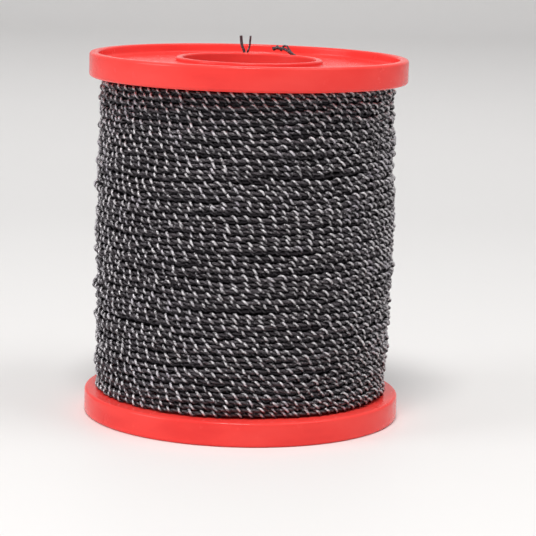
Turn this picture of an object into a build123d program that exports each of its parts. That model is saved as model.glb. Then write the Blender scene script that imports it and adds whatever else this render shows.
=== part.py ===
from build123d import *
import math
import os

# Spool of steel sealing wire: a one-piece moulded spool, wound full with a wire that is itself a
# straight core with a thinner strand wrapped round it. Millimetres, +Z up along the spool's axis,
# origin at the centre of the foot ring that the spool stands on, the front of the spool at -Y.

# Moulded spool
flange_diameter = 50.0
traverse = 49.5           # clear width between the two flanges
bore_diameter = 21.0
barrel_wall = 1.0
web_thickness = 2.3       # flange between its rim and the barrel
recess_depth = 1.5        # outer face of the web below the crest of the rim
collar_drop = 0.5         # end of the barrel below the crest of the rim
rim_wall = 1.45
rim_chamfer = 0.3         # outer edges of the rim
collar_chamfer = 0.25     # both edges of the barrel's end

# Wire and its winding
core_diameter = 0.5
strand_diameter = 0.3
turn_pitch = 0.965        # from one turn to the next along the barrel
layer_depth = 0.9         # from the outside of one layer of turns to the outside of the next
turns_per_ridge = 3       # turns that one ridge of the winding stands for
rim_margin = 2.0          # the flange stands this far outside the first and last turns
winding_bulge = 0.5       # the middle turns stand this far outside the first and last
winding_clearance = 0.02  # between the winding and the flanges and barrel

# Holes in the upper web that the ends of the wire come out of
hole_clearance = 0.25     # round the wire
start_hole_margin = 1.7   # from the barrel to the middle of the hole
start_hole_angle = 93.5   # from +X, anticlockwise seen from above
finish_hole_margin = 2.05  # from the rim to the middle of the hole
finish_hole_angle = 69.0

# Free ends of the wire
parting_height = 0.3      # above the web, where core and strand part at the start end
parting_offset = 0.2      # of core and strand from the middle of the wire where they part
start_rise = 2.2          # tips of core and strand above the crest of the rim
start_spread = 1.9        # between the tips
bend_height = 0.35        # above the web, where the finish end bends over into its hook
hook_rise = 0.95          # from the bend up to the top of the hook
hook_reach = 1.15         # from the bend across to the top of the hook
tip_reach = 1.95          # from the top of the hook to its tip
tip_drop = 0.25           # of the tip below the top of the hook

flange_depth = web_thickness + recess_depth
overall_height = traverse + 2 * flange_depth
middle_height = overall_height / 2
flange_radius = flange_diameter / 2
rim_inner_radius = flange_radius - rim_wall
bore_radius = bore_diameter / 2
barrel_radius = bore_radius + barrel_wall
upper_web_bottom = overall_height - flange_depth
upper_web_top = overall_height - recess_depth
wire_radius = core_diameter / 2 + strand_diameter


def on_circle(radius, angle):
    """Point of the horizontal plane at a radius and an angle round the spool's axis."""
    return radius * math.cos(math.radians(angle)), radius * math.sin(math.radians(angle))


start_hole = on_circle(barrel_radius + start_hole_margin, start_hole_angle)
finish_hole = on_circle(rim_inner_radius - finish_hole_margin, finish_hole_angle)

# Spool: half of its section is turned round the axis, mirrored, and pierced for the wire's ends
with BuildPart() as spool:
    with BuildSketch(Plane.XZ) as half_section:
        with BuildLine():
            Polyline(
                (bore_radius, middle_height),
                (bore_radius, collar_drop),
                (barrel_radius, collar_drop),
                (barrel_radius, recess_depth),
                (rim_inner_radius, recess_depth),
                (rim_inner_radius, 0),
                (flange_radius, 0),
                (flange_radius, flange_depth),
                (barrel_radius, flange_depth),
                (barrel_radius, middle_height),
                close=True,
            )
        make_face()
        collar_corners = half_section.vertices().group_by(Axis.Y)[1]
        chamfer(collar_corners, collar_chamfer)
        rim_corners = half_section.vertices().group_by(Axis.X)[-1]
        chamfer(rim_corners, rim_chamfer)
    revolve(axis=Axis.Z)
    mirror(about=Plane.XY.offset(middle_height))
    with BuildSketch(Plane.XY.offset(upper_web_bottom)):
        with Locations(start_hole, finish_hole):
            Circle(wire_radius + hole_clearance)
    extrude(amount=web_thickness, mode=Mode.SUBTRACT)

# Winding: its turns are ridges, with grooves between them down to the layer below
winding_bottom = flange_depth + winding_clearance
winding_width = traverse - 2 * winding_clearance
ridge_count = math.floor(winding_width / (turn_pitch * turns_per_ridge))
ridge_width = winding_width / ridge_count
winding_bore_radius = barrel_radius + winding_clearance
end_turn_radius = flange_radius - rim_margin


def turn_radius(height):
    """Outside of the turns at a height: a parabola from the first turn over the middle to the last."""
    share = (height - middle_height) / (winding_width / 2)
    return end_turn_radius + winding_bulge * (1 - share**2)


def groove_point(step):
    """Bottom of the groove under ridge number step."""
    height = winding_bottom + step * ridge_width
    return turn_radius(height) - layer_depth, height


def crest_point(step):
    """Outermost point of ridge number step."""
    height = winding_bottom + (step + 1 / 2) * ridge_width
    return turn_radius(height), height


ridge_outline = [groove_point(0)]
for ridge in range(ridge_count):
    ridge_outline += [crest_point(ridge), groove_point(ridge + 1)]

with BuildPart() as wire:
    with BuildSketch(Plane.XZ) as winding_section:
        with BuildLine():
            Polyline(
                (winding_bore_radius, winding_bottom),
                *ridge_outline,
                (winding_bore_radius, winding_bottom + winding_width),
                close=True,
            )
        make_face()
    revolve(axis=Axis.Z)

    # start end: up through the web beside the barrel, where core and strand part and lean away
    stub_bottom = upper_web_bottom - wire_radius
    parting = upper_web_top + parting_height
    with BuildSketch(Plane.XY.offset(stub_bottom)):
        with Locations(start_hole):
            Circle(wire_radius)
    extrude(amount=parting - stub_bottom)
    start_plane = Plane(origin=(*start_hole, 0), x_dir=(1, 0, 0), z_dir=(0, -1, 0))
    for side, diameter in ((-1, core_diameter), (1, strand_diameter)):
        with BuildLine(start_plane) as leg:
            Line(
                (side * parting_offset, parting - wire_radius),
                (side * start_spread / 2, overall_height + start_rise),
            )
        with BuildSketch(Plane(origin=leg.line @ 0, z_dir=leg.line % 0)):
            Circle(diameter / 2)
        sweep(path=leg.line)

    # finish end: up through the web beside the rim and over in a hook towards -X
    bend = upper_web_top + bend_height
    hook_plane = Plane(origin=(*finish_hole, 0), x_dir=(-1, 0, 0), z_dir=(0, 1, 0))
    with BuildLine(hook_plane) as hook:
        Polyline(
            (0, stub_bottom),
            (0, bend),
            (hook_reach, bend + hook_rise),
            (hook_reach + tip_reach, bend + hook_rise - tip_drop),
        )
    with BuildSketch(Plane(origin=hook.line @ 0, z_dir=hook.line % 0)):
        Circle(wire_radius)
    sweep(path=hook.line, transition=Transition.RIGHT)

spool.part.label = "spool"
wire.part.label = "wire"

os.makedirs("parts", exist_ok=True)
export_step(spool.part, "parts/spool.step")
export_step(wire.part, "parts/wire.step")
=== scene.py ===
import math

import bpy
import numpy as np
from mathutils import Matrix, Vector


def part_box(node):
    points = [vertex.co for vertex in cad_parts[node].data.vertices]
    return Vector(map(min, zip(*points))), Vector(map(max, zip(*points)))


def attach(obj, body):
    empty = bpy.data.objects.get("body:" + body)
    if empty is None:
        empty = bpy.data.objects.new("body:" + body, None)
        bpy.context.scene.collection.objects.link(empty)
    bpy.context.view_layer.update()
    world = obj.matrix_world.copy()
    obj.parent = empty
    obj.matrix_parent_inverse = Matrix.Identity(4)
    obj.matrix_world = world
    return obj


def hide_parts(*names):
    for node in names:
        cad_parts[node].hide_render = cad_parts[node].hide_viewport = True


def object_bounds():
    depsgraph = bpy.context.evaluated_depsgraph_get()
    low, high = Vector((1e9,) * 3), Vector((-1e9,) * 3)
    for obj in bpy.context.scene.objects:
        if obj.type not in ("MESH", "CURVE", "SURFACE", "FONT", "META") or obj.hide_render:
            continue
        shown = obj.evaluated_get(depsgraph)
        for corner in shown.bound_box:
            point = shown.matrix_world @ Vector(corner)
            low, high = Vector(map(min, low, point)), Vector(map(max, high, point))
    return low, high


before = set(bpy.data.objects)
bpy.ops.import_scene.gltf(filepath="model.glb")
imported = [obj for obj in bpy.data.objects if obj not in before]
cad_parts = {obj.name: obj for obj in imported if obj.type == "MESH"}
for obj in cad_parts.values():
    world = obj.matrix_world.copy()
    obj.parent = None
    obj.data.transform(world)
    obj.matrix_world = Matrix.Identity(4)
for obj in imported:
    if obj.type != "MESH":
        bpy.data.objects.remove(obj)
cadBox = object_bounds()

# Lengths are millimetres unless a note says otherwise; meshes are written in metres.
mm = 0.001
fullTurn = 2 * math.pi
anyPhase = 7             # radians, a little over a full turn, so that a wave may start anywhere

# Picture

view = {
    "place": (0.0, -0.356909, 0.082967),  # metres
    "down": 9.4914,      # degrees below level
    "right": 0.6165,     # degrees to the right of straight ahead
    "roll": 1.6036,      # degrees that the picture is turned clockwise
    "lens": 152.739,     # on a sensor 36 mm wide
    "nearest": 0.01,     # metres; nothing nearer is drawn
}

lamps = {
    # name: place and width in metres, watts, colour, and a direction if it doesn't shine on the spool
    "keyLamp": ((-0.05, -0.33, 0.75), 0.22, 4.1, (1.0, 0.985, 0.965), None),
    "rightLamp": ((0.42, -0.16, 0.72), 0.40, 1.8, (1.0, 1.0, 1.0), None),
    "leftLamp": ((-0.80, -0.28, 0.36), 0.40, 2.8, (0.98, 0.98, 1.0), None),
    "wallLamp": ((0.0, 0.25, 0.70), 0.60, 2.4, (1.0, 0.99, 0.98), (0, 1, -0.05)),
}

glow = {
    "strength": 0.40,    # of the even light from all round
    "colour": (0.98, 0.98, 1.0),
}


# Matrix of a camera or lamp at a place: it looks along forward, its top is as near to up as that allows,
# then it is turned about the line of sight.
def lookingFrom(place, forward, roll=0.0):
    forward = Vector(forward).normalized()
    right = forward.cross(Vector((0, 0, 1))).normalized()
    up = right.cross(forward)
    turnedRight = right * math.cos(roll) + up * math.sin(roll)
    turnedUp = up * math.cos(roll) - right * math.sin(roll)
    turned = Matrix((turnedRight, turnedUp, -forward)).transposed().to_4x4()
    return Matrix.Translation(place) @ turned


# The camera looks along +Y, turned by the view's angles: forward is (sin right cos down, cos right cos
# down, -sin down).
def setUpCamera():
    data = bpy.data.cameras.new("camera")
    data.lens = view["lens"]
    data.clip_start = view["nearest"]
    camera = bpy.data.objects.new("camera", data)
    bpy.context.scene.collection.objects.link(camera)
    down, right = math.radians(view["down"]), math.radians(view["right"])
    forward = (math.sin(right) * math.cos(down), math.cos(right) * math.cos(down), -math.sin(down))
    camera.matrix_world = lookingFrom(view["place"], forward, math.radians(view["roll"]))
    bpy.context.scene.camera = camera
    bpy.context.scene.view_settings.view_transform = "Standard"
    print("camera:", round(data.lens), "mm lens,", round(Vector(view["place"]).length / mm), "mm away")


# Square lamps that shine on the middle of the CAD box, or in a direction of their own.
def setUpLamps():
    middle = (cadBox[0] + cadBox[1]) / 2
    for name, (place, width, watts, colour, direction) in lamps.items():
        data = bpy.data.lights.new(name, "AREA")
        data.size = width
        data.energy = watts
        data.color = colour
        lamp = bpy.data.objects.new(name, data)
        bpy.context.scene.collection.objects.link(lamp)
        lamp.matrix_world = lookingFrom(place, direction or middle - Vector(place))
    print("lamps:", len(lamps))


# Even pale light from every direction.
def setUpGlow():
    world = bpy.data.worlds.new("room")
    bpy.context.scene.world = world
    world.use_nodes = True
    background = world.node_tree.nodes["Background"]
    background.inputs["Color"].default_value = (*glow["colour"], 1)
    background.inputs["Strength"].default_value = glow["strength"]
    print("glow:", glow["strength"])


# Meshes from grids

# Quads of a grid of points numbered row by row: point (i, j), (i, j+1), (i+1, j+1), (i+1, j). A closed
# direction joins its last line to its first.
def gridQuads(rows, columns, closeRows=False, closeColumns=True):
    i = np.arange(rows if closeRows else rows - 1)[:, None]
    j = np.arange(columns if closeColumns else columns - 1)[None, :]
    nextI, nextJ = (i + 1) % rows, (j + 1) % columns
    quads = (i * columns + j, i * columns + nextJ, nextI * columns + nextJ, nextI * columns + j)
    return np.stack(np.broadcast_arrays(*quads), axis=-1).reshape(-1, 4)


# A grid of points (rows, columns, 3) in mm as one shell. Capped closes its first and last rows with flat
# ends. Marks are values kept at the points, for the materials.
def surfaceShell(grid, closeRows=False, closeColumns=True, capped=False, **marks):
    rows, columns = grid.shape[:2]
    quads = gridQuads(rows, columns, closeRows, closeColumns)
    corners, sizes = quads.reshape(-1), np.full(len(quads), 4)
    if capped:
        firstRow = np.arange(columns)[::-1]
        lastRow = (rows - 1) * columns + np.arange(columns)
        corners = np.concatenate([corners, firstRow, lastRow])
        sizes = np.concatenate([sizes, [columns, columns]])
    flatMarks = {name: values.reshape(rows * columns, -1) for name, values in marks.items()}
    return {"points": grid.reshape(-1, 3), "corners": corners, "sizes": sizes, "marks": flatMarks}


# Several shells as one: the corner numbers of each are raised by the points that come before it.
def joinShells(shells):
    before = np.cumsum([0] + [len(s["points"]) for s in shells[:-1]])
    return {
        "points": np.concatenate([s["points"] for s in shells]),
        "corners": np.concatenate([s["corners"] + start for s, start in zip(shells, before)]),
        "sizes": np.concatenate([s["sizes"] for s in shells]),
        "marks": {name: np.concatenate([s["marks"][name] for s in shells]) for name in shells[0]["marks"]},
    }


# Adds a shell to the scene as a smooth-shaded mesh in metres, with its marks as attributes of its points.
def addPiece(name, shell, material):
    mesh = bpy.data.meshes.new(name)
    starts = np.concatenate([[0], np.cumsum(shell["sizes"])[:-1]])
    mesh.vertices.add(len(shell["points"]))
    mesh.vertices.foreach_set("co", (shell["points"] * mm).astype(np.float32).ravel())
    mesh.loops.add(len(shell["corners"]))
    mesh.loops.foreach_set("vertex_index", shell["corners"].astype(np.int32))
    mesh.polygons.add(len(starts))
    mesh.polygons.foreach_set("loop_start", starts.astype(np.int32))
    mesh.update(calc_edges=True)
    mesh.validate()
    mesh.shade_smooth()
    for mark, values in shell["marks"].items():
        kind, field = ("FLOAT_VECTOR", "vector") if values.shape[1] == 3 else ("FLOAT", "value")
        attribute = mesh.attributes.new(mark, kind, "POINT")
        attribute.data.foreach_set(field, values.astype(np.float32).ravel())
    mesh.materials.append(material)
    piece = bpy.data.objects.new(name, mesh)
    bpy.context.scene.collection.objects.link(piece)
    return piece


# Directions without their lengths: each vector divided by its own.
def unit(vectors):
    return vectors / np.linalg.norm(vectors, axis=-1, keepdims=True)


# Way travelled to each point of a line: the lengths of the steps before it, added up.
def distanceAlong(line):
    return np.concatenate([[0], np.cumsum(np.linalg.norm(np.diff(line, axis=0), axis=-1))])


# Direction of travel, and two directions square to it, at each point of a line: the first is the guide
# less its share along the line, the second completes a right-handed set.
def framesAlong(line, guide):
    along = unit(np.gradient(line, axis=0))
    outward = unit(guide - (guide * along).sum(-1, keepdims=True) * along)
    return along, outward, np.cross(along, outward)


# Rings of points round a line: line + radius (outward cos a + side sin a), a going round once.
def tubeGrid(line, outward, side, radius, around):
    angle = np.linspace(0, fullTurn, around, endpoint=False)[None, :, None]
    return line[:, None] + radius * (outward[:, None] * np.cos(angle) + side[:, None] * np.sin(angle))


# Materials

# A material with nodes, its node tree and its shader.
def newMaterial(name):
    material = bpy.data.materials.new(name)
    material.use_nodes = True
    tree = material.node_tree
    return material, tree, tree.nodes["Principled BSDF"]


# Adds a node, sets its own settings, and fills its inputs by name, or by number after an underscore: a
# socket is linked, a value is set.
def addNode(tree, kind, settings=None, **inputs):
    node = tree.nodes.new(kind)
    for name, value in (settings or {}).items():
        setattr(node, name, value)
    for name, value in inputs.items():
        socket = node.inputs[int(name[1:])] if name[0] == "_" else node.inputs[name]
        if isinstance(value, bpy.types.NodeSocket):
            tree.links.new(value, socket)
        else:
            socket.default_value = value
    return node


# Place on the piece, in metres.
def placeOf(tree):
    return addNode(tree, "ShaderNodeTexCoord").outputs["Object"]


# A mark kept at the mesh's points, as its Vector or its Fac.
def markOf(tree, name, output):
    return addNode(tree, "ShaderNodeAttribute", {"attribute_name": name}).outputs[output]


# Coordinates times a size in each direction: above one, it makes a pattern finer that way.
def scaledBy(tree, vector, size):
    return addNode(tree, "ShaderNodeMapping", _0=vector, _3=size).outputs[0]


# Clouds around one half; in the vector's own units, their lumps are about one over the scale wide.
def noiseOf(tree, vector, scale, detail, roughness):
    settings = {"Scale": scale, "Detail": detail, "Roughness": roughness}
    return addNode(tree, "ShaderNodeTexNoise", Vector=vector, **settings).outputs["Fac"]


# Maps low..high onto newLow..newHigh, and stops there.
def stretched(tree, value, low, high, newLow, newHigh):
    node = addNode(tree, "ShaderNodeMapRange", _0=value, _1=low, _2=high, _3=newLow, _4=newHigh)
    return node.outputs[0]


# Colour between first and second; either may be a socket or a plain colour.
def blended(tree, factor, first, second):
    node = addNode(tree, "ShaderNodeMix", {"data_type": "RGBA"}, _0=factor, _6=first, _7=second)
    return node.outputs[2]


# A sum or product of two values, or the sine or cosine of the first.
def mathOf(tree, operation, first, second=0.0):
    return addNode(tree, "ShaderNodeMath", {"operation": operation}, _0=first, _1=second).outputs[0]


# Links the shader's colour, roughness and relief. The relief's depth is in metres.
def linkSurface(tree, shader, colour, rough, height, strength, depth):
    bump = addNode(tree, "ShaderNodeBump", Strength=strength, Distance=depth, Height=height)
    tree.links.new(colour, shader.inputs["Base Color"])
    tree.links.new(rough, shader.inputs["Roughness"])
    tree.links.new(bump.outputs["Normal"], shader.inputs["Normal"])


steel = {
    "crest": (0.72, 0.695, 0.71, 1),      # drawn steel, bright where the turns stand out: wear, with a painted highlight
    "recess": (0.094, 0.084, 0.092, 1),   # the same steel in the crevices, dark with painted shade as well as drawing soap and oxide
    "bluish": (0.42, 0.37, 0.46, 1),      # faint violet temper here and there
    # noise: scale, detail, roughness
    "dieLines": (26.0, 2.0, 0.5),         # scratches from the drawing die
    "patches": (260.0, 4.0, 0.6),
    "specks": (3.2, 4.0, 0.65),
    # low and high, and what they become
    "spotty": (0.36, 0.64, -0.42, 0.42),  # how far the wear differs from one speck to the next
    "patchy": (0.35, 0.65, -0.1, 0.1),    # and from one patch to the next
    "bright": (0.25, 0.85, 0.0, 1.0),     # wear and painted light, from the recess's painted shade to the crest's painted highlight
    "tinted": (0.52, 0.72, 0.0, 0.55),
    "rough": (0.7, 1.3, 0.32, 0.54),
    "lineShape": (0.06, 1, 1),            # makes the die lines long along the wire
    "lineDepth": 0.2,                     # of the die lines, where the specks have 1
    "relief": (0.8, 0.0003),              # strength, depth in metres
}


# Dark drawn steel. The wireGrain attribute is (mm along the wire, across, up), so noise drawn out along it
# gives the die's lines; standOut runs from 0 in the crevices to 1 on the crests, and carries painted shade
# and a painted highlight as well as wear.
def wireSteel():
    material, tree, shader = newMaterial("wireSteel")
    grain, standOut = markOf(tree, "wireGrain", "Vector"), markOf(tree, "standOut", "Fac")
    dieLines = noiseOf(tree, scaledBy(tree, grain, steel["lineShape"]), *steel["dieLines"])
    patches = noiseOf(tree, placeOf(tree), *steel["patches"])
    specks = noiseOf(tree, grain, *steel["specks"])

    spotty = stretched(tree, specks, *steel["spotty"])
    patchy = stretched(tree, patches, *steel["patchy"])
    wearAndPaintedLight = mathOf(tree, "ADD", mathOf(tree, "ADD", standOut, spotty), patchy)
    bright = stretched(tree, wearAndPaintedLight, *steel["bright"])
    tinted = stretched(tree, patches, *steel["tinted"])
    steelColour = blended(tree, tinted, steel["crest"], steel["bluish"])
    # Painted light: the colour runs from painted shade in the recesses to a painted highlight on the
    # crests, mixed with the steel's wear.
    colour = blended(tree, bright, steel["recess"], steelColour)
    rough = stretched(tree, mathOf(tree, "ADD", specks, patches), *steel["rough"])
    height = mathOf(tree, "ADD", mathOf(tree, "MULTIPLY", dieLines, steel["lineDepth"]), specks)
    shader.inputs["Metallic"].default_value = 1.0
    linkSurface(tree, shader, colour, rough, height, *steel["relief"])
    return material


shade = {
    # The layer below: its steel darkened as painted shade, and paintedShade, the darker painted shade
    # between its wraps.
    "steel": (0.14, 0.13, 0.14, 1),
    "paintedShade": (0.045, 0.040, 0.045, 1),
    "specks": (2.2, 3.0, 0.6),            # noise: scale, detail, roughness
    "wrap": (0.1, 0.5, 0.0, 1.0),         # low and high of the wave in mm, and what they become
    "rough": (0.3, 0.7, 0.35, 0.55),      # low and high, and what they become
    "relief": (1.0, 0.00022),             # strength, metres that the strand stands above the core
}


# The layer below, dark in the shadow of the turns above it. Its wraps are a wave in the shading: the
# cosine of the angle round the wire less the strand's angle at that distance along it.
def shadedSteel():
    material, tree, shader = newMaterial("shadedSteel")
    grain = markOf(tree, "wireGrain", "Vector")
    parts = addNode(tree, "ShaderNodeSeparateXYZ", _0=grain).outputs
    wrapped = mathOf(tree, "MULTIPLY", parts[0], fullTurn / wire["lay"])
    across = mathOf(tree, "MULTIPLY", parts[1], mathOf(tree, "COSINE", wrapped))
    up = mathOf(tree, "MULTIPLY", parts[2], mathOf(tree, "SINE", wrapped))
    wrap = stretched(tree, mathOf(tree, "ADD", across, up), *shade["wrap"])
    specks = noiseOf(tree, grain, *shade["specks"])
    # Painted shade: the wave darkens the layer below between its wraps.
    colour = blended(tree, mathOf(tree, "MULTIPLY", wrap, specks), shade["paintedShade"], shade["steel"])
    rough = stretched(tree, specks, *shade["rough"])
    shader.inputs["Metallic"].default_value = 1.0
    linkSurface(tree, shader, colour, rough, wrap, *shade["relief"])
    return material


plastic = {
    "red": (0.87, 0.051, 0.043, 1),
    "deepRed": (0.80, 0.039, 0.034, 1),
    "paleRed": (0.90, 0.066, 0.056, 1),
    # noise: scale, detail, roughness
    "clouds": (70.0, 4.0, 0.55),
    "skin": (2600.0, 2.0, 0.5),
    "marks": (420.0, 6.0, 0.7),
    # low and high, and what they become
    "deeper": (0.35, 0.5, 1.0, 0.0),
    "paler": (0.52, 0.7, 0.0, 0.8),
    "rough": (0.35, 0.65, 0.17, 0.28),
    "cloudShape": (1, 1, 2.5),            # makes the clouds flatter than they are wide
    "cloudDepth": 3.0,                    # of the clouds, where the skin has 1
    "relief": (0.12, 0.00004),            # strength, depth in metres
    "glossIor": 1.30,
}


# Glossy moulded plastic: faint clouds of colour from the melt's flow, a fine skin, light handling marks
# in the gloss.
def mouldedRed():
    material, tree, shader = newMaterial("mouldedRed")
    place = placeOf(tree)
    clouds = noiseOf(tree, scaledBy(tree, place, plastic["cloudShape"]), *plastic["clouds"])
    skin = noiseOf(tree, place, *plastic["skin"])
    marks = noiseOf(tree, place, *plastic["marks"])
    deeper = stretched(tree, clouds, *plastic["deeper"])
    paler = stretched(tree, clouds, *plastic["paler"])
    darkest = blended(tree, deeper, plastic["red"], plastic["deepRed"])
    colour = blended(tree, paler, darkest, plastic["paleRed"])
    rough = stretched(tree, marks, *plastic["rough"])
    height = mathOf(tree, "ADD", skin, mathOf(tree, "MULTIPLY", clouds, plastic["cloudDepth"]))
    shader.inputs["IOR"].default_value = plastic["glossIor"]
    linkSurface(tree, shader, colour, rough, height, *plastic["relief"])
    return material


# Floor

ground = {
    "colour": (0.80, 0.79, 0.78),
    "shaded": 0.985,                  # brightness of its darker clouds, where the colour has 1
    "clouds": (9.0, 3.0, 0.5),        # noise: scale, detail, roughness
    "roughness": 0.55,
    "reach": 1.6,                     # metres from the middle to the floor's edges
    "wallDistance": 0.95,             # metres behind the spool where the floor starts to rise
    "bendRadius": 0.35,               # metres
    "bendSteps": 24,
    "wallHeight": 1.4,                # metres
}


# Pale and rather matt: its colour, with clouds a shade darker that hardly show.
def paleFloor():
    material, tree, shader = newMaterial("paleFloor")
    clouds = noiseOf(tree, placeOf(tree), *ground["clouds"])
    shaded = tuple(ground["shaded"] * c for c in ground["colour"])
    colour = blended(tree, clouds, (*ground["colour"], 1), (*shaded, 1))
    tree.links.new(colour, shader.inputs["Base Color"])
    shader.inputs["Roughness"].default_value = ground["roughness"]
    return material


# Floor and wall as one sheet: flat, then a quarter circle, then straight up.
def addFloor():
    reach, start, bend = ground["reach"], ground["wallDistance"], ground["bendRadius"]
    angle = np.linspace(0, math.pi / 2, ground["bendSteps"])
    away = np.concatenate([[-reach], start + bend * np.sin(angle), [start + bend]])
    height = np.concatenate([[0], bend * (1 - np.cos(angle)), [ground["wallHeight"]]])
    across = np.array([-reach, 0, reach])
    grid = np.stack(np.broadcast_arrays(across[None, :], away[:, None], height[:, None]), axis=-1) / mm
    floor = addPiece("floor", surfaceShell(grid, closeColumns=False), paleFloor())
    print("floor:", len(floor.data.polygons), "faces")


# Moulded spool

spool = {
    "height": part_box("spool")[1].z / mm,
    "flangeRadius": 25.0,
    "rimInnerRadius": 23.55,
    "rimDraft": 0.06,           # the rim's inner wall leans outward by this at its crest
    "boreRadius": 10.5,
    "barrelRadius": 11.5,
    "flangeDepth": 3.8,
    "recessDepth": 1.5,
    "collarDrop": 0.5,
    "rimRound": 0.45,           # outer edges of the rim
    "rimInnerRound": 0.35,
    "collarRound": 0.3,
    "rootRound": 0.5,           # where a wall rises from the web
    "hiddenRound": 0.05,        # where the flange meets the barrel under the wire
    "arcSteps": 7,
    "columns": 288,
    "sharpAbove": 35,           # degrees between two faces from which their edge is drawn sharp
    "holeRadius": 0.8,
    "holeSides": 40,
    "cutBeyond": 0.5,           # the holes' cutters reach this far past the flange
}

# Middles of the holes that the wire's two ends come out of: x, y
holes = {
    "startEnd": (-0.806, 13.175),
    "finishEnd": (7.705, 20.07),
}


# Closed outline with an arc at each corner, worked out for all corners at once. For a corner with unit
# vectors a and b to its neighbours and half its angle h, the arc's middle lies r / sin h away along a +
# b, and the arc runs between the points r / tan h along a and b.
def roundedOutline(corners, steps):
    points, radius = corners[:, :2], corners[:, 2]
    a = unit(np.roll(points, 1, axis=0) - points)
    b = unit(np.roll(points, -1, axis=0) - points)
    half = np.arccos(np.clip((a * b).sum(-1), -1, 1)) / 2
    middle = points + unit(a + b) * (radius / np.sin(half))[:, None]
    first = points + a * (radius / np.tan(half))[:, None] - middle
    last = points + b * (radius / np.tan(half))[:, None] - middle
    start = np.arctan2(first[:, 1], first[:, 0])
    sweep = (np.arctan2(last[:, 1], last[:, 0]) - start + math.pi) % fullTurn - math.pi
    angle = start[:, None] + sweep[:, None] * np.linspace(0, 1, steps)
    arcs = middle[:, None] + radius[:, None, None] * np.stack([np.cos(angle), np.sin(angle)], axis=-1)
    return arcs.reshape(-1, 2)


# A closed outline of (radius, height), anticlockwise with radius to the right, turned once round the
# axis: (r cos a, r sin a, z). Columns go along the outline, and rows clockwise round the axis, which
# makes the faces look outwards.
def turnedGrid(outline, columns):
    angle = np.linspace(fullTurn, 0, columns, endpoint=False)[:, None]
    radius, height = outline[None, :, 0], outline[None, :, 1]
    return np.stack(np.broadcast_arrays(radius * np.cos(angle), radius * np.sin(angle), height), axis=-1)


# Half section of the spool as corners (radius, height, rounding), anticlockwise: the lower flange from
# the bore outward, then the same corners mirrored for the upper flange.
def spoolOutline():
    s = spool
    lower = np.array([
        (s["boreRadius"], s["collarDrop"], s["collarRound"]),
        (s["barrelRadius"], s["collarDrop"], s["collarRound"]),
        (s["barrelRadius"], s["recessDepth"], s["rootRound"]),
        (s["rimInnerRadius"], s["recessDepth"], s["rootRound"]),
        (s["rimInnerRadius"] + s["rimDraft"], 0, s["rimInnerRound"]),
        (s["flangeRadius"], 0, s["rimRound"]),
        (s["flangeRadius"], s["flangeDepth"], s["rimRound"]),
        (s["barrelRadius"], s["flangeDepth"], s["hiddenRound"]),
    ])
    upper = lower[::-1] * (1, -1, 1) + (0, s["height"], 0)
    return roundedOutline(np.concatenate([lower, upper]), s["arcSteps"])


# Cuts the two round holes through the upper flange, each with an upright cylinder: its circle is (x + r
# cos a, y + r sin a).
def pierceHoles(piece):
    radius = spool["holeRadius"]
    angle = np.linspace(0, fullTurn, spool["holeSides"], endpoint=False)
    low = spool["height"] - spool["flangeDepth"] - spool["cutBeyond"]
    high = spool["height"] - spool["recessDepth"] + spool["cutBeyond"]
    for name, (x, y) in holes.items():
        circle = np.stack([x + radius * np.cos(angle), y + radius * np.sin(angle), 0 * angle], axis=-1)
        grid = np.stack([circle + (0, 0, low), circle + (0, 0, high)])
        cutter = addPiece(f"{name}Hole", surfaceShell(grid, capped=True), piece.data.materials[0])
        cut = piece.modifiers.new(cutter.name, "BOOLEAN")
        cut.operation = "DIFFERENCE"
        cut.solver = "EXACT"
        cut.object = cutter
        bpy.context.view_layer.update()
        graph = bpy.context.evaluated_depsgraph_get()
        pierced = bpy.data.meshes.new_from_object(piece.evaluated_get(graph))
        piece.modifiers.clear()
        piece.data = pierced
        bpy.data.objects.remove(cutter)
    piece.data.name = piece.name
    piece.data.set_sharp_from_angle(angle=math.radians(spool["sharpAbove"]))


# The whole spool is one outline turned round its axis, and then pierced.
def makeSpool():
    shell = surfaceShell(turnedGrid(spoolOutline(), spool["columns"]), closeRows=True)
    piece = addPiece("mouldedSpool", shell, mouldedRed())
    pierceHoles(piece)
    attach(piece, "root")
    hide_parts("spool")
    print("spool:", len(piece.data.polygons), "faces")


# Wound wire

wire = {
    "coreRadius": 0.24,
    "strandRadius": 0.205,
    "reach": 0.37,              # of the strand's middle from the middle of the wire
    "sway": 0.08,               # of the core's middle, pulled the other way by the strand
    "lay": 1.80,                # from one wrap of the strand to the next
    "laysPerTurn": 79.44,       # wraps of the strand in one turn of the winding
    "turns": 51,
    "level": 0.5,               # turns that lie level against each flange
    "seamAngle": 90.0,          # degrees from +X where the turns are counted from, at the back
    "bulge": 0.5,               # the middle turns stand this far outside the end ones
    "endRadius": 23.0,          # outside of the first and last turns
    "clearance": 0.02,          # between the winding and the flanges and barrel
    "stepsPerLay": 10,
    "coreStepsPerLay": 6,
    "strandSides": 6,
    "coreSides": 6,
    "coreWearAndShade": 0.22,           # wear and painted shade of the core, where the strand has 1: the core is kept darker where it lies under the strand
    "paintedHighlightAbove": 44,            # degrees above its crest where the wire is painted brightest: a painted highlight from the light above
    "bands": 5,                 # pieces that the turns are shared between
}

# How the turns stray from an even winding
straying = {
    "seed": 7,
    # slow waves that neighbours share: mm, how many, and mm of height in a radian, least and most
    "sharedShift": (0.30, 6, 1.6, 5.0),
    "sharedLift": (0.14, 6, 0.7, 2.5),
    "mostRound": 5,             # of those waves in one turn
    # a turn's own waves: the most in one turn, mm up and down, mm in and out
    "ownWaves": ((3, 0.055, 0.085), (9, 0.060, 0.095), (30, 0.065, 0.085)),
    "ownEach": 3,               # how many of each kind
    "slowestShare": 0.3,        # the least of them in one turn, where the most is 1
    "endTurns": 3,              # turns at each end over which the shifts up and down set in
    "partedFade": 2.5,          # turns over which a parting dies away
    "raisedFade": 0.7,          # turns over which a raised turn's rise dies away to its neighbours
}

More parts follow.
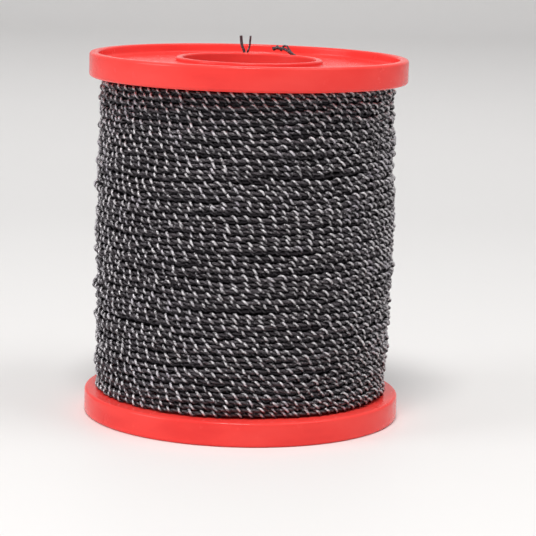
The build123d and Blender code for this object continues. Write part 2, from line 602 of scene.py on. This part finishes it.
# Where turns have parted or ride up: height, degrees round from +X, half-width in degrees, mm
parted = [
    (47.6, -47, 12, 0.30), (45.8, -100, 22, 0.26), (43.4, -103, 30, 0.34), (44.0, -64, 20, 0.26),
    (41.0, -61, 34, 0.46), (39.2, -104, 26, 0.32), (36.3, -102, 32, 0.44), (34.8, -101, 30, 0.44),
    (33.7, -84, 26, 0.36), (32.8, -62, 18, 0.34), (31.4, -115, 22, 0.32), (30.8, -140, 24, 0.40),
    (29.5, -81, 34, 0.42), (26.6, -70, 34, 0.34), (26.7, -112, 26, 0.40), (24.8, -98, 24, 0.34),
    (22.4, -79, 18, 0.34), (22.5, -62, 12, 0.30), (20.2, -91, 36, 0.46), (18.6, -105, 20, 0.30),
    (17.6, -133, 34, 0.44), (17.7, -67, 18, 0.34), (16.2, -97, 24, 0.34), (13.9, -91, 26, 0.36),
    (13.6, -121, 14, 0.40), (11.5, -111, 26, 0.36), (11.2, -64, 26, 0.40), (8.2, -88, 30, 0.24),
    (42.0, 20, 50, 0.34), (36.5, -10, 30, 0.36), (30.0, 120, 55, 0.40), (22.0, 35, 45, 0.38),
    (15.0, 150, 40, 0.34), (46.0, 160, 50, 0.32), (37.0, 75, 40, 0.38), (26.0, -170, 35, 0.34),
    (12.0, 60, 45, 0.36), (33.5, 170, 30, 0.34), (19.0, 95, 40, 0.36), (49.0, 80, 45, 0.28),
]
raised = [
    (50.2, -95, 30, 0.22), (45.4, -62, 22, 0.34), (43.2, -60, 24, 0.30), (41.8, -54, 26, 0.30),
    (39.6, -58, 28, 0.30), (34.6, -55, 26, 0.30), (32.2, -92, 22, 0.20), (27.8, -60, 22, 0.26),
    (24.0, -68, 20, 0.24), (13.0, -72, 26, 0.26), (47.6, -128, 24, 0.22), (37.4, -130, 24, 0.22),
    (44.8, -172, 34, 0.34), (42.1, -178, 30, 0.30), (36.0, -170, 30, 0.40), (28.8, -176, 30, 0.34),
    (25.5, -170, 36, 0.36), (20.0, -172, 34, 0.46), (14.9, -168, 30, 0.36), (8.6, -172, 34, 0.36),
    (38.0, -14, 34, 0.34), (30.5, -6, 30, 0.32), (21.5, -20, 30, 0.34), (15.5, -4, 34, 0.30),
    (27.0, 80, 40, 0.32), (36.0, 140, 40, 0.34), (19.0, 110, 30, 0.30), (45.0, 45, 36, 0.32),
    (10.5, 20, 36, 0.30), (48.5, 120, 34, 0.26),
]
halfTurn = 0.5    # from a cut midway between two turns to either of them


# From the middle of the wire to the outside of its strand.
def wireRadius():
    return wire["reach"] + wire["strandRadius"]


# Heights of the middle of the first and last turn: they lie against the flanges, less the clearance.
def windingSpan():
    low = spool["flangeDepth"] + wire["clearance"]
    high = spool["height"] - spool["flangeDepth"] - wire["clearance"]
    return low + wireRadius(), high - wireRadius()


# Outside of the turns at a share of the winding's height: a parabola from the first turn over the middle
# to the last.
def outsideAt(rise):
    return wire["endRadius"] + wire["bulge"] * (1 - (2 * rise - 1) ** 2)


# Counts turns along a cut through the winding at the given degrees: turns above the given height are
# positive, those below negative, and the count stays the same along each turn.
def localTurn(turn, angle, height, degrees):
    low, high = windingSpan()
    away = (angle - math.radians(degrees) + math.pi) % fullTurn - math.pi
    pitch = (high - low) / (wire["turns"] - 2 * wire["level"])
    wanted = (height - low) / pitch + wire["level"]
    between = (math.radians(degrees - wire["seamAngle"]) / fullTurn) % 1 + halfTurn
    return turn - away / fullTurn - (np.round(wanted - between) + between), away


# One in the middle, falling to nothing a half-width away: the square of a cosine.
def window(away, degrees):
    share = np.clip(np.abs(away) / math.radians(degrees), 0, 1)
    return np.cos(share * math.pi / 2) ** 2


# Smooth relief over the winding: cosines with whole waves round it times cosines along its height.
def sharedWaves(rng, angle, height, size, count, least, most):
    total = 0
    for _ in range(count):
        across, up = rng.integers(1, straying["mostRound"] + 1), rng.uniform(least, most)
        roundIt = np.cos(across * angle + rng.uniform(0, anyPhase))
        total = total + roundIt * np.cos(height / up + rng.uniform(0, anyPhase))
    return size * (total / math.sqrt(count))


# One wave along the turns: a cosine of the angle, with up to the given number of waves in one turn.
def ownWave(rng, angle, quickest):
    pace = rng.uniform(straying["slowestShare"], 1) * quickest
    return np.cos(pace * angle + rng.uniform(0, anyPhase))


# Middle of the outer layer's wire at each turn count, and its distance from the axis: round the axis, up
# by one pitch a turn, on the barrelled outline. It strays by slow waves that neighbours share and by
# quicker ones of its own, and it shifts where turns have parted or ride up.
def windingLine(turn):
    s = straying
    rng = np.random.default_rng(s["seed"])
    low, high = windingSpan()
    angle = fullTurn * turn + math.radians(wire["seamAngle"])
    rise = np.clip((turn - wire["level"]) / (wire["turns"] - 2 * wire["level"]), 0, 1)
    height = low + (high - low) * rise
    radius = outsideAt(rise) - wireRadius()

    shift = sharedWaves(rng, angle, height, *s["sharedShift"])
    lift = sharedWaves(rng, angle, height, *s["sharedLift"])
    for quickest, sideways, outward in s["ownWaves"]:
        for _ in range(s["ownEach"]):
            shift = shift + sideways * ownWave(rng, angle, quickest)
            lift = lift + outward * ownWave(rng, angle, quickest)
    for place, degrees, halfWidth, opening in parted:
        count, away = localTurn(turn, angle, place, degrees)
        fade = np.exp(-(np.abs(count) - halfTurn).clip(0) / s["partedFade"])
        shift = shift + opening / 2 * np.sign(count) * fade * window(away, halfWidth)
    for place, degrees, halfWidth, amount in raised:
        count, away = localTurn(turn, angle, place, degrees)
        fade = np.exp(-((count - halfTurn) / s["raisedFade"]) ** 2)
        lift = lift + amount * fade * window(away, halfWidth)
    freedom = np.clip(np.minimum(turn, wire["turns"] - turn) / s["endTurns"], 0, 1)
    height = np.clip(height + shift * freedom, low, high)
    radius = radius + lift
    return np.stack([radius * np.cos(angle), radius * np.sin(angle), height], axis=-1), radius


# How far each point stands out of the winding, from 0 at the wire's middle to 1 at its crest: its way from
# the middle along a direction that leans up from outward. It paints light into the colour: painted shade in
# the crevices, and a painted highlight above the crest, where light from above falls.
def standOutOf(grid, line, radius):
    lean = math.radians(wire["paintedHighlightAbove"])
    outward = np.hypot(grid[..., 0], grid[..., 1]) - radius[:, None]
    up = grid[..., 2] - line[:, 2][:, None]
    return np.clip((outward * math.cos(lean) + up * math.sin(lean)) / wireRadius(), 0, 1)


# The place on the wire itself: mm along it, and across and up on its own section.
def grainOf(distance, around, radius):
    angle = np.linspace(0, fullTurn, around, endpoint=False)[None, :]
    parts = np.broadcast_arrays(distance[:, None], radius * np.cos(angle), radius * np.sin(angle))
    return np.stack(parts, axis=-1)


# Level direction away from the axis, at each point of a line.
def outwardFromAxis(line):
    return unit(line * (1, 1, 0))


# How unevenly the strand was wrapped
wrapping = {
    "looseness": 0.078,         # mm that it wanders off the core, at most about twice this
    "specksFrom": 31.7,         # mm, start of its wireGrain, so that its specks aren't the core's
    # waves along the wire: shortest and longest in mm, how many, seed
    "standOff": (1.5, 5, 6, 10),
    "upAndDown": (2, 6, 6, 11),
    "quickDrift": (4, 14, 6, 9),
    "quickDriftSize": 0.40,     # radians ahead or behind, from one wrap to the next
    "slowDrifts": 8,
    "slowDriftSize": (1.5, 4.0),      # radians
    "slowDriftPace": (0.03, 0.35),    # waves in one turn
    "slowDriftSeed": 8,
}


# Uneven waves along a wire, about as large as one: cosines of several lengths in mm, added up.
def wander(distance, shortest, longest, count, seed):
    rng = np.random.default_rng(seed)
    total = 0
    for length in rng.uniform(shortest, longest, count):
        total = total + np.cos(fullTurn * distance / length + rng.uniform(0, anyPhase))
    return total / math.sqrt(count)


# Grid and grain of the thin strand: a helix round the wire's middle, line + a (outward cos p + side sin
# p), which is right-handed because outward, side and the direction of travel are. It was wrapped
# unevenly: p runs ahead or behind, and a grows where the strand stands off the core.
def strandRound(line, guide, phase, way):
    _, outward, side = framesAlong(line, guide)
    reach = wire["reach"] + wrapping["looseness"] * wander(way, *wrapping["standOff"])
    fromCore = outward * np.cos(phase)[:, None] + side * np.sin(phase)[:, None]
    helix = line + reach[:, None] * fromCore
    helix = helix + wrapping["looseness"] * wander(way, *wrapping["upAndDown"])[:, None] * (0, 0, 1)
    _, away, across = framesAlong(helix, fromCore)
    grid = tubeGrid(helix, away, across, wire["strandRadius"], wire["strandSides"])
    distance = distanceAlong(helix) + wrapping["specksFrom"]
    return grid, grainOf(distance, wire["strandSides"], wire["strandRadius"])


# Grid and grain of the core: a round tube that sways about the wire's middle on the far side from the
# strand, line - sway (outward cos p + side sin p).
def coreAlong(line, guide, phase):
    _, outward, side = framesAlong(line, guide)
    fromCore = outward * np.cos(phase)[:, None] + side * np.sin(phase)[:, None]
    swayed = line - wire["sway"] * fromCore
    _, outward, side = framesAlong(swayed, guide)
    grid = tubeGrid(swayed, outward, side, wire["coreRadius"], wire["coreSides"])
    return grid, grainOf(distanceAlong(swayed), wire["coreSides"], wire["coreRadius"])


# Mm along the wire at a turn count, near enough for patterns.
def wayAlong(turn):
    return turn * fullTurn * wire["endRadius"]


# Angle of the strand round the core: a steady lay that drifts slowly along the wire as it was wrapped,
# and runs a little ahead or behind from one wrap to the next.
def strandPhase(turn):
    w = wrapping
    rng = np.random.default_rng(w["slowDriftSeed"])
    drift = w["quickDriftSize"] * wander(wayAlong(turn), *w["quickDrift"])
    for _ in range(w["slowDrifts"]):
        size, pace = rng.uniform(*w["slowDriftSize"]), rng.uniform(*w["slowDriftPace"])
        drift = drift + size * np.cos(pace * fullTurn * turn + rng.uniform(0, anyPhase))
    return fullTurn * wire["laysPerTurn"] * turn + drift


# Adds a shell as a piece of the wire.
def addWirePiece(name, shell, material):
    piece = addPiece(name, shell, material)
    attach(piece, "root")
    return piece


hiddenTurns = {
    "sunk": 0.88,               # middle of the next layer's wire below the outer layer's
    "radius": 0.55,
    "steps": 72,                # points in one turn
    "sides": 8,
    "packSunk": 1.7,            # outside of the closed pack of deeper turns, below the outer layer's middle
    "packRows": 13,
    "packColumns": 96,
}


# The layer below, which shows where the outer turns have parted: a wire that lies midway between each
# turn and the next and deeper by one nested layer, round a closed pack that stands for all the rest.
def makeHiddenTurns(material):
    h = hiddenTurns
    last = wire["turns"] - 1
    turn = np.linspace(0, last, last * h["steps"] + 1)
    line = (windingLine(turn)[0] + windingLine(turn + 1)[0]) / 2
    guide = outwardFromAxis(line)
    line = line - h["sunk"] * guide
    _, outward, side = framesAlong(line, guide)
    grid = tubeGrid(line, outward, side, h["radius"], h["sides"])
    grain = grainOf(distanceAlong(line), h["sides"], h["radius"])
    tube = surfaceShell(grid, capped=True, wireGrain=grain)

    low, high = windingSpan()
    rise = np.linspace(0, 1, h["packRows"])
    outside = outsideAt(rise) - wireRadius() - h["packSunk"]
    height = low - wireRadius() + (high - low + 2 * wireRadius()) * rise
    inside = np.full(2, spool["barrelRadius"] + wire["clearance"])
    ends = height[[-1, 0]]
    outline = np.stack([np.concatenate([outside, inside]), np.concatenate([height, ends])], axis=-1)
    packGrid = turnedGrid(outline, h["packColumns"])
    pack = surfaceShell(packGrid, closeRows=True, wireGrain=packGrid)
    piece = addWirePiece("hiddenTurns", joinShells([tube, pack]), material)
    print("hidden turns:", len(piece.data.polygons), "faces")


# The outer layer in bands of turns: in each, core and strand follow the winding's line from one turn
# count to the next.
def makeTurns(material):
    edges = np.linspace(0, wire["turns"], wire["bands"] + 1)
    pieces = []
    for number, (start, end) in enumerate(zip(edges[:-1], edges[1:]), 1):
        lays = (end - start) * wire["laysPerTurn"]
        turn = np.linspace(start, end, round(lays * wire["stepsPerLay"]) + 1)
        line, radius = windingLine(turn)
        grid, grain = strandRound(line, outwardFromAxis(line), strandPhase(turn), wayAlong(turn))
        strand = surfaceShell(grid, capped=True, wireGrain=grain, standOut=standOutOf(grid, line, radius))

        turn = np.linspace(start, end, round(lays * wire["coreStepsPerLay"]) + 1)
        line, radius = windingLine(turn)
        grid, grain = coreAlong(line, outwardFromAxis(line), strandPhase(turn))
        # Painted shade: the core's mark is scaled down, so the core shows darker than the strand.
        wearAndPaintedLight = wire["coreWearAndShade"] * standOutOf(grid, line, radius)
        core = surfaceShell(grid, capped=True, wireGrain=grain, standOut=wearAndPaintedLight)
        pieces.append(addWirePiece(f"woundTurns{number}", joinShells([core, strand]), material))
    print("turns:", sum(len(p.data.polygons) for p in pieces), "faces")
    return pieces


wireEnds = {
    "wearAndPaintedLight": 0.10,               # how bright their steel is, on the scale of the turns' crests
    "from": 53.1,               # height that both come up from, inside the winding
    "parting": 55.5,            # height where core and strand part
    "turnedBy": 0.6,            # radians that the strand has gone round the core where an end starts
    "facing": (0, -1, 0),       # direction that their angles are counted from
    "stemSteps": 14,
    "curveSteps": 12,
    "coreSides": 14,
    "strandSides": 12,
    "strandShare": 0.8,         # radius of a strand by itself, where a wrapped one has 1
    # points that core and strand pass through, counted from where they part
    "startEnd": {
        "core": ((0, 0, 0), (-0.02, 0, 0.55), (-0.11, 0, 1.32), (-0.47, -0.03, 2.20), (-0.64, -0.02, 3.70)),
        "strand": ((0.10, 0, 0), (0.36, 0, 0.65), (0.57, 0, 1.32), (0.80, 0.02, 2.10), (0.92, 0, 3.70)),
    },
    "finishEnd": {
        "core": ((0, 0, 0), (-0.20, 0, 0.18), (-0.80, 0, 0.48), (-1.50, 0, 1.00), (-2.20, 0, 1.26),
                 (-3.00, 0, 1.33), (-3.90, 0, 1.31)),
        "strand": ((0.10, -0.1, 0), (-0.45, -0.38, 0.40), (-1.00, -0.10, 0.95), (-1.30, -0.05, 1.40),
                   (-1.60, 0.0, 1.72), (-2.00, 0.10, 1.72), (-2.35, 0.30, 1.30), (-2.45, -0.30, 1.00),
                   (-2.85, -0.38, 1.40), (-3.15, 0.20, 1.66), (-3.45, 0.32, 1.20), (-3.70, -0.30, 1.08),
                   (-3.92, -0.28, 1.50)),
    },
}


# Smooth line through points: between two of them it is the cubic that leaves each along the line joining
# its two neighbours.
def curveThrough(knots, steps):
    p = np.array(knots, float)
    p = np.concatenate([[2 * p[0] - p[1]], p, [2 * p[-1] - p[-2]]])
    before, first, second, after = p[:-3, None], p[1:-2, None], p[2:-1, None], p[3:, None]
    t = np.linspace(0, 1, steps, endpoint=False)[None, :, None]
    cubic = (2 * first + (second - before) * t + (2 * before - 5 * first + 4 * second - after) * t**2
             + (3 * first - before - 3 * second + after) * t**3) / 2
    return np.concatenate([cubic.reshape(-1, 3), p[-2:-1]])


# A tube as a shell with the ends' even wear.
def endShell(grid, grain):
    wearAndPaintedLight = np.full(grid.shape[:2], wireEnds["wearAndPaintedLight"])
    return surfaceShell(grid, capped=True, wireGrain=grain, standOut=wearAndPaintedLight)


# Core and strand together along a short line: the strand keeps its lay.
def wrappedEnd(line):
    guide, way = np.array([wireEnds["facing"]], float), distanceAlong(line)
    phase = fullTurn * way / wire["lay"] + wireEnds["turnedBy"]
    return [endShell(*coreAlong(line, guide, phase)), endShell(*strandRound(line, guide, phase, way))]


# One of the two wires by itself: rings of points round its line.
def bareWire(line, radius, sides):
    _, outward, side = framesAlong(line, np.array([wireEnds["facing"]], float))
    grid = tubeGrid(line, outward, side, radius, sides)
    return endShell(grid, grainOf(distanceAlong(line), sides, radius))


# Each end comes up through its hole as one wire, then core and strand go their own ways.
def makeWireEnds(material):
    e = wireEnds
    low, parting = e["from"], e["parting"]
    faces = 0
    for name, (x, y) in holes.items():
        foot = np.array([x, y, parting])
        stem = curveThrough([(x, y, low), (x, y, (low + parting) / 2), (x, y, parting)], e["stemSteps"])
        core = curveThrough(e[name]["core"], e["curveSteps"]) + foot
        strand = curveThrough(e[name]["strand"], e["curveSteps"]) + foot
        piece = addWirePiece(name, joinShells([
            *wrappedEnd(stem),
            bareWire(core, wire["coreRadius"], e["coreSides"]),
            bareWire(strand, e["strandShare"] * wire["strandRadius"], e["strandSides"]),
        ]), material)
        faces += len(piece.data.polygons)
    print("wire ends:", faces, "faces")


# Run

setUpCamera()
setUpLamps()
setUpGlow()
addFloor()
makeSpool()
steelMaterial = wireSteel()
makeHiddenTurns(shadedSteel())
turns = makeTurns(steelMaterial)
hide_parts("wire")
makeWireEnds(steelMaterial)
